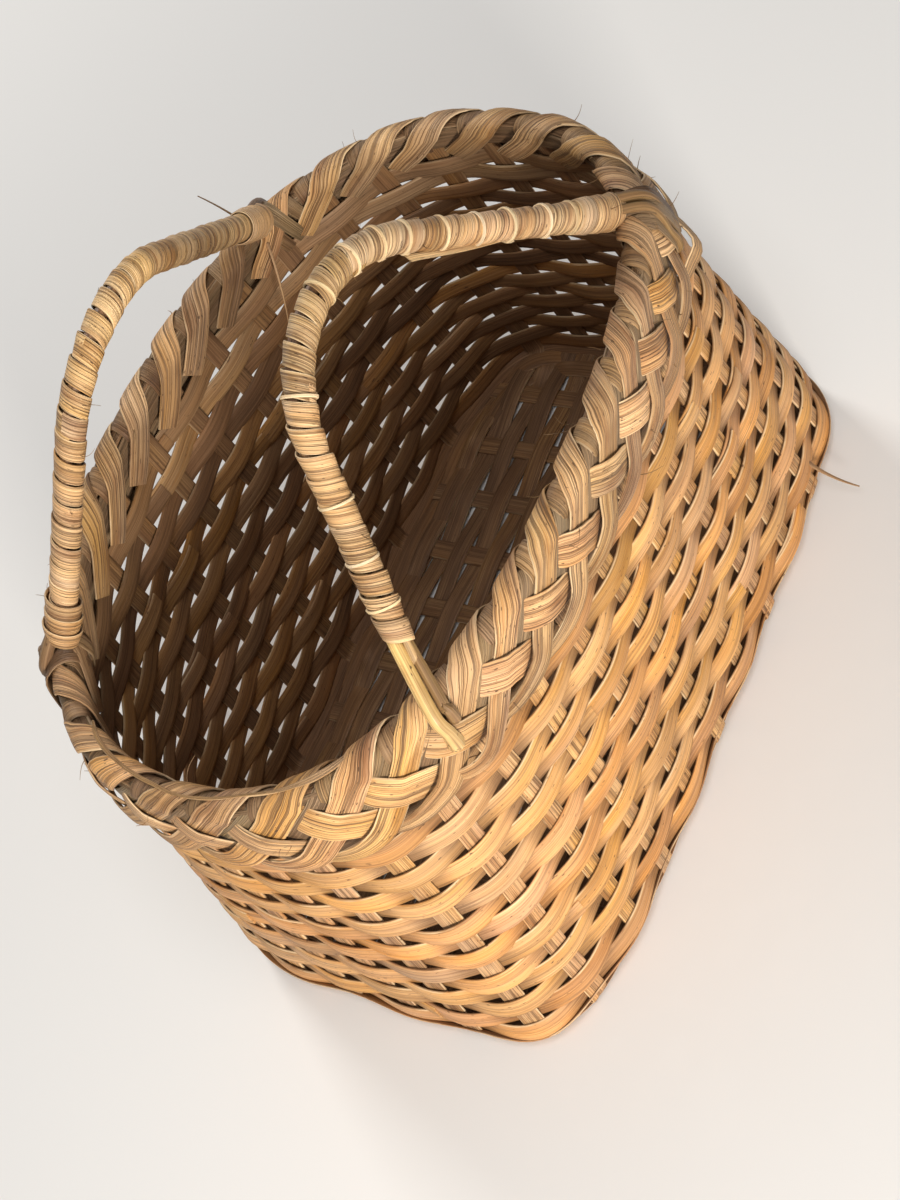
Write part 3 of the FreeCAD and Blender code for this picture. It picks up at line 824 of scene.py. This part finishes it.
# Name, route, seed, stain, age and the CAD nodes that the splints stand for. The backing's high outer
# stain is painted shade, for the plait's gaps.
RIM_SETS = (
    ("slanting", SLANTING, 500, (0.04, 0.6), 0.1, ["rim_plait_slanting_splints"]),
    ("crossing", CROSSING, 540, (0.0, 0.5), 0.02, ["rim_plait_crossing_splints"]),
    ("lip_loop", LIP_LOOP, 580, (0.55, 0.7), 0.4, ["rim_plait_lip_splints"]),
    ("backing", BACKING, 600, (0.5, 0.6), 0.85, []),
)


def plaited_rim():
    """The plait's splints, one of each set at every turn, and the thin strand along the lip."""
    cane_turns = [bow.foot_turn(end) for bow in BOWS for end in (0, 1)]
    for name, route, seed, stain_and_shade, age, nodes in RIM_SETS:
        splints = Splints(seed)
        for k in range(STAKES):
            own_age = max(0.0, age + splints.rng.uniform(-0.1, 0.15))
            own_stain_shade = [max(0.0, part + splints.rng.uniform(-0.12, 0.18)) for part in stain_and_shade]
            line = jitter(splints.rng, route)
            if name == "slanting":
                line = over_canes(line, k, cane_turns)
            browner = splints.rng.uniform(0.1, 0.6)
            rim_splint(splints, k, line, RIM_THICKNESS, min(1.0, own_age), own_stain_shade, browner)
        if name == "lip_loop":
            rim_splint(splints, 0, LIP_STRAND, 1.5, 0.0, (0.3, 0.4), samples=90)
        splints.piece(f"rim_{name}_splints", RIM_CANE, "rim_splint", *nodes)


CORE_AGE, CORE_OUTSET, CORE_WIDTH, CORE_STEP = 0.9, 4.6, 8.2, 1 / 8
# Name, side of the stakes, depths below the lip, stain and CAD node. The high stains are partly painted
# shade, for the plait's gaps.
CORES = (
    ("outer", 1, (5, 12, 19, 26, 32), (0.7, 0.6), "outer_rim_hoop"),
    ("inner", -1, (5, 11), (0.8, 0.7), "inner_rim_hoop"),
)


def rim_core():
    """Grey splints that run round inside the plait, on both sides of the stakes and on top of them. Their
    dark stain is partly painted shade, for the plait's gaps.
    """
    for name, side, depths, stain_and_shade, node in CORES:
        splints = Splints(660 + side)
        for depth in depths:
            turns = np.arange(0, STAKES + 0.8, CORE_STEP) + splints.rng.uniform(0, STAKES)
            z = WALL_HEIGHT - depth + wobble(splints.rng, turns, 1.6, 1.2)
            outset = side * (CORE_OUTSET + wobble(splints.rng, turns, 0.8, 1.9))
            centre = on_wall(turns, z, outset)
            rise = wall_rise(turns, z)
            out = wall_level(turns, z) * side
            width = CORE_WIDTH + wobble(splints.rng, turns, 1.2, 1.5)
            splints.flat(centre, rise, out, width, 1.8, CORE_AGE, stain_and_shade, crown=0.03)
        if side > 0:
            turns = np.arange(0, STAKES + 0.8, CORE_STEP)
            z = WALL_HEIGHT - 0.5 + wobble(splints.rng, turns, 0.5)
            top = on_wall(turns, z, np.zeros_like(turns))
            level, up = wall_level(turns, WALL_HEIGHT), np.tile(UP, (len(turns), 1))
            splints.flat(top, level, up, 8.0, 1.6, 0.3, (0.7, 0.7))
        splints.piece(f"rim_{name}_core_splints", RIM_CANE, "rim_hoop", node)


# ---------------------------------------------------------------- handles

# Shares of the front handle's length at which raised edges stand, and between which a splint hangs loose.
EDGE_SHARES = (0.05, 0.11, 0.19, 0.33, 0.47, 0.53, 0.585, 0.63, 0.69, 0.75, 0.81, 0.87, 0.925)
LOOSE_SHARES = (0.60, 0.80)
# How far from the lip each bow's winding stops, and which ends have a binding. End 0 is towards -X.
WINDING_GAPS = {"front": (32.0, 10.0), "back": (8.0, 8.0)}
BINDINGS = {"front": (1,), "back": (0, 1)}
BARE_FOOT = ("front", 0)
CANE_GAP = 17.0  # between the lip and the end of a cane that has no hook
BRIDGE = 15  # a hooked cane leaves the bow this many points before its end
# The canes are painted dark above this height, as shade under the winding.
SHADE_HEIGHT = WALL_HEIGHT + 24  # above this the canes are dark
LEFT_STAIN = {"front": 0.0, "back": 0.8}  # of the upper cane
WINDING_THICKNESS = 1.1
WINDING_SAMPLES = 22  # in each turn of the winding


def wound(splints, centre, out, pitch, width, radius, lift=0.5, stain_and_shade=(0.0, 0.4)):
    """Splint wound round a line in turns that just meet, with its leading edge lifted a little."""
    rng = splints.rng
    turns = run_along(centre)[-1] / pitch
    index = np.arange(len(centre))
    heading = unit(np.gradient(centre, axis=0))
    first = 0.0
    while first < turns - 0.05:
        last = min(turns, first + rng.uniform(3, 7))
        t = np.arange(first, last + 0.12, 1 / WINDING_SAMPLES)
        t = t[t <= turns]
        place = t / turns * index[-1]
        middle = np.column_stack([np.interp(place, index, centre[:, i]) for i in range(3)])
        forward = unit(np.column_stack([np.interp(place, index, heading[:, i]) for i in range(3)]))
        side = unit(np.cross(forward, out))
        other = np.cross(side, forward)
        angle = 2 * np.pi * t
        radial = side * np.cos(angle)[:, None] + other * np.sin(angle)[:, None]
        reach = radius + wobble(rng, t, 0.25, 2.2)
        raised = lift * (1 + 1.6 * np.clip(wobble(rng, t, 1.4, 1.7), 0, 1))
        across = forward + radial * (raised / width * 2)[:, None]
        slide = wobble(rng, t, 1.0, 1.3)
        wide = width * (1 + wobble(rng, t, 0.07, 1.1))
        points = middle + radial * reach[:, None] + forward * slide[:, None]
        splints.flat(points, across, radial, wide, WINDING_THICKNESS, stain_and_shade=stain_and_shade)
        first = last


def curled_edges(bow, centre):
    """Pale edges of the winding that stand up as thin rings, and one splint that hangs loose below it."""
    rings = Splints(730)
    for share in EDGE_SHARES:
        i = int(share * (len(centre) - 2))
        ahead = unit(centre[i + 1] - centre[i])
        length = rings.rng.uniform(1.4, 2.0)
        short = centre[i] + ahead * np.linspace(0, length, 4)[:, None]
        radius = rings.rng.uniform(7.5, 8.0)
        wound(rings, short, bow.out, length / 1.05, 1.5, radius, lift=0.1, stain_and_shade=(0.0, 0.3))
    rings.piece("front_handle_curled_edges", EDGE_CANE, "handle_wrapping")

    loose = Splints(732)
    first, last = (int(share * len(centre)) for share in LOOSE_SHARES)
    above = centre[first:last]
    count = len(above)
    below = np.linspace(14.5, 7.0, count) + 1.5 * np.sin(np.linspace(0, math.pi, count))
    up, out = np.tile(bow.up, (count, 1)), np.tile(bow.out, (count, 1))
    loose.flat(above - up * below[:, None], up, out, 5.0, 1.0, 0.2)
    loose.piece("front_handle_loose_splint", WRAP_CANE, "handle_wrapping")


def hook(bow, end, offset, drop):
    """Points of a cane over the lip, down the outside of the rim by drop, and into the weave.

    A lashing pulls it closer to the rim, except at the bare foot.
    """
    turn = bow.foot_turn(end, offset)
    steps = ((-3, 11.0), (drop - 12, 13.4), (drop - 5, 13.2), (drop, 11.0), (drop + 5, 6.0))
    snug = 1.0 if (bow.name, end) == BARE_FOOT else 0.79
    return np.array([on_wall(turn, WALL_HEIGHT - depth, out * snug) for depth, out in steps])


def bent_cane(splints, bow, offset, out, drops, radius, age, stain_and_shade):
    """A cane that follows the bow and, where a drop is given, carries on over the lip.

    stain is how dark it is at its left and right ends. Under the winding it is painted dark all along, as
    shade.
    """
    line = bow.line(offset, (CANE_GAP, CANE_GAP))
    path = bow.place(line[:, 0], line[:, 1], out)
    for end in (0, 1):
        if drops[end]:
            path = path[::-1] if end == 0 else path
            leaving = path[[-BRIDGE, -BRIDGE + 6]]
            bridge = curve_through(np.vstack([leaving, hook(bow, end, offset, drops[end])]), 90)
            path = np.vstack([path[:-BRIDGE], bridge])
            path = path[::-1] if end == 0 else path
    path = evenly(path, LINE_STEP)
    even = np.arange(len(path)) * LINE_STEP
    darker = stain_and_shade[0] + (stain_and_shade[1] - stain_and_shade[0]) * smooth((path[:, :1] + 60) / 160)
    # Painted shade under the winding.
    darker = np.maximum(darker, 0.95 * smooth((path[:, 2:] - SHADE_HEIGHT) / 5))
    before_end = np.minimum(even, even[-1] - even)
    swell = 1 + 0.35 * smooth(1 - before_end / 22)
    tip = np.sqrt(np.clip(before_end / 4, 0.1, 1))
    rough = 1 + wobble(splints.rng, even / 20, 0.05)
    splints.round(path, radius * rough * swell * tip, age, darker, sides=14)


def handles():
    """Each bow's winding, its bindings and its three canes."""
    for bow in BOWS:
        line = bow.line(0.0, WINDING_GAPS[bow.name])
        centre = bow.place(line[:, 0], line[:, 1])
        wrap = Splints(700 + bow.side)
        wound(wrap, centre, bow.out, pitch=11.6, width=11.3, radius=6.9, lift=0.3, stain_and_shade=(0.0, 0.35))
        wrap.piece(f"{bow.name}_handle_winding", WRAP_CANE, "handle_wrapping", f"{bow.name}_handle_wrap")
        if bow.name == "front":
            curled_edges(bow, centre)
        for end in BINDINGS[bow.name]:
            part = centre[:13] if end == 0 else centre[-13:]
            binding = Splints(720 + 2 * bow.side + end)
            wound(binding, part, bow.out, pitch=8.0, width=9.5, radius=8.6)
            side = ("left", "right")[end]
            name = f"{bow.name}_handle_{side}_binding"
            binding.piece(name + "_winding", WRAP_CANE, "handle_wrapping", name)
        # Name, offset, out, drops, radius, age and stain.
        canes = (
            ("upper_rod", 3.15, 0.0, (21, 30), 3.4, 0.0, (LEFT_STAIN[bow.name], 0.95)),
            ("lower_rod", -3.0, 0.0, (9, 34), 2.6, 0.0, (0.8, 0.9)),
            ("core_rod", 0.0, 4.4, (0, 0), 1.6, 0.2, (0.4, 0.4)),
        )
        for name, offset, out, drops, radius, age, stain_and_shade in canes:
            splints = Splints(740 + 3 * bow.side + len(name))
            bent_cane(splints, bow, offset, out, drops, radius, age, stain_and_shade)
            node = f"{bow.name}_handle_{name}"
            splints.piece(node + "_cane", ROD_CANE, "handle_cane", node)


LASHING_STEPS = (-0.34, -0.08, 0.2)


def lashings():
    """Splints that bind the canes down onto the rim, at every foot but the bare one."""
    splints = Splints(800)
    rng = splints.rng
    for bow in BOWS:
        for end in (0, 1):
            if (bow.name, end) == BARE_FOOT:
                continue
            for step in LASHING_STEPS:
                hug = 1 - 0.8 * abs(step)
                moved = jitter(rng, LASHING)
                route = [(turn, way, reach * hug, width) for turn, way, reach, width in moved]
                age, stain_and_shade = rng.uniform(0.2, 0.7), (rng.uniform(0.5, 0.9), 0.7)
                rim_splint(splints, bow.foot_turn(end) + step, route, 1.2, age, stain_and_shade)
    splints.piece("rim_lashing_splints", WRAP_CANE, "handle_wrapping")


RIM_FIBRES, HANDLE_FIBRES, FIBRE_STEPS = 90, 16, 9


def fibre(splints, start, heading, length, radius, curl):
    """A thin frayed fibre that tapers and bends away from where it starts."""
    rng = splints.rng
    heading = unit(np.asarray(heading, float))
    bend = unit(np.array([rng.uniform(-1, 1) for _ in range(3)]) + heading * 0.2)
    path = [np.asarray(start, float)]
    for _ in range(FIBRE_STEPS):
        heading = unit(heading + bend * curl / FIBRE_STEPS)
        path.append(path[-1] + heading * length / FIBRE_STEPS)
    thick = radius * np.linspace(1, 0.35, FIBRE_STEPS + 1)
    splints.round(np.array(path), thick, age=rng.uniform(0, 0.4), stain_and_shade=rng.uniform(0.1, 0.6), sides=5)


def loose_fibres():
    """Frayed ends along the rim and the handles, and three longer broken splints."""
    splints = Splints(860)
    rng = splints.rng
    for _ in range(RIM_FIBRES):
        turn, depth = rng.uniform(0, STAKES), rng.choice((-3, 2, 14, 26, 38, 44))
        side = 1 if depth > 10 or rng.random() < 0.5 else -1
        outset = side * (8.5 if depth > 0 else 4.0)
        start = on_wall(turn, WALL_HEIGHT - depth, outset)
        out = wall_level(turn, WALL_HEIGHT - depth) * side
        heading = out + UP * rng.uniform(-0.9, 0.9) + np.cross(UP, out) * rng.uniform(-1.5, 1.5)
        length, radius = rng.uniform(5, 14), rng.uniform(0.16, 0.32)
        fibre(splints, start, heading, length, radius, rng.uniform(0.5, 2.4))
    for bow in BOWS:
        line = bow.line(0.0, (30.0, 14.0))
        for _ in range(HANDLE_FIBRES):
            x, up = line[rng.randrange(len(line))]
            way = rng.uniform(-1, 1) * bow.up + rng.choice((-1, 1)) * bow.out
            way = way + rng.uniform(-1, 1) * bow.along
            start = bow.place(x, up) + unit(way) * 7.0
            length, radius = rng.uniform(4, 11), rng.uniform(0.15, 0.28)
            fibre(splints, start, way, length, radius, rng.uniform(0.6, 2.2))
    splints.piece("loose_fibres", RIM_CANE, "rim_splint")

    ends = Splints(870)
    back = BOWS[1]
    fibre(ends, back.place(back.span - 14, 6, 4), (0.24, 0.73, 0.63), 40, 0.9, 0.25)
    low_on_front = on_wall(-4.3, 26, 2.0)
    fibre(ends, low_on_front, (-0.25, -0.75, -0.5), 32, 1.3, 0.5)
    under_foot = on_wall(back.foot_turn(1) + 0.3, WALL_HEIGHT - 6, -9.5)
    fibre(ends, under_foot, (-0.6, -0.3, -0.75), 52, 0.9, 0.7)
    ends.piece("broken_splint_ends", STAKE_CANE, "stake_splint")


# ---------------------------------------------------------------- stage

# Metres and watts: name, place, size, power and colour.
LAMPS = (
    ("key", (-1.10, -1.40, 0.62), 0.35, 40.0, (1.0, 0.96, 0.90)),
    ("window", (0.75, 1.45, 1.35), 0.5, 21.0, (1.0, 0.98, 0.95)),
    ("fill", (-0.35, -0.55, 1.65), 0.7, 10.0, (0.98, 0.98, 1.0)),
)
LAMP_AIM = 0.18
SKY, SKY_STRENGTH = (0.95, 0.97, 1.0, 1), 0.25
FLOOR_COLOUR = (0.75, 0.735, 0.71, 1)
CAMERA_PLACE, CAMERA_TURN = (-0.4048, -0.6607, 1.0262), (32.118, 25.069, -64.405)
CAMERA_LENS, CAMERA_SENSOR = 66.0, 36.0


def floor_material(name, colour, rough):
    """A plain pale surface with faint clouds."""
    tree = Tree(name)
    place = tree.add("ShaderNodeTexCoord").outputs["Object"]
    cloud = tree.add("ShaderNodeTexNoise", {"Vector": place, "Scale": 1.5, "Detail": 2.0}).outputs["Fac"]
    darker = tuple(0.94 * c for c in colour[:3]) + (1,)
    tree.put(tree.shader.inputs["Base Color"], tree.mix(cloud, darker, colour))
    tree.shader.inputs["Roughness"].default_value = rough
    return tree.material


def stage():
    """The floor, the light and the camera at the photo's viewing angle."""
    scene = bpy.context.scene
    bpy.ops.mesh.primitive_plane_add(size=9, location=(0, 0, 0))
    floor = bpy.context.object
    floor.name = "floor"
    floor.data.materials.append(floor_material("floor_cloth", FLOOR_COLOUR, 0.9))

    world = bpy.data.worlds.new("studio")
    scene.world = world
    world.use_nodes = True
    sky = world.node_tree.nodes["Background"].inputs
    sky[0].default_value, sky[1].default_value = SKY, SKY_STRENGTH
    scene.view_settings.view_transform = "Standard"

    for name, place, wide, power, colour in LAMPS:
        lamp = bpy.data.lights.new(name, "AREA")
        lamp.size, lamp.energy, lamp.color = wide, power, colour
        obj = bpy.data.objects.new(name, lamp)
        scene.collection.objects.link(obj)
        obj.location = place
        aim = -(obj.location.copy())
        aim.z += LAMP_AIM
        obj.rotation_euler = aim.to_track_quat("-Z", "Y").to_euler()

    camera = bpy.data.objects.new("camera", bpy.data.cameras.new("camera"))
    scene.collection.objects.link(camera)
    camera.location = CAMERA_PLACE
    camera.rotation_euler = Euler([math.radians(angle) for angle in CAMERA_TURN])
    camera.data.lens, camera.data.sensor_width = CAMERA_LENS, CAMERA_SENSOR
    scene.camera = camera


stage()
cross_stakes()
long_stakes()
base_fillers()
base_edging()
weaver_courses()
rim_core()
plaited_rim()
handles()
lashings()
loose_fibres()
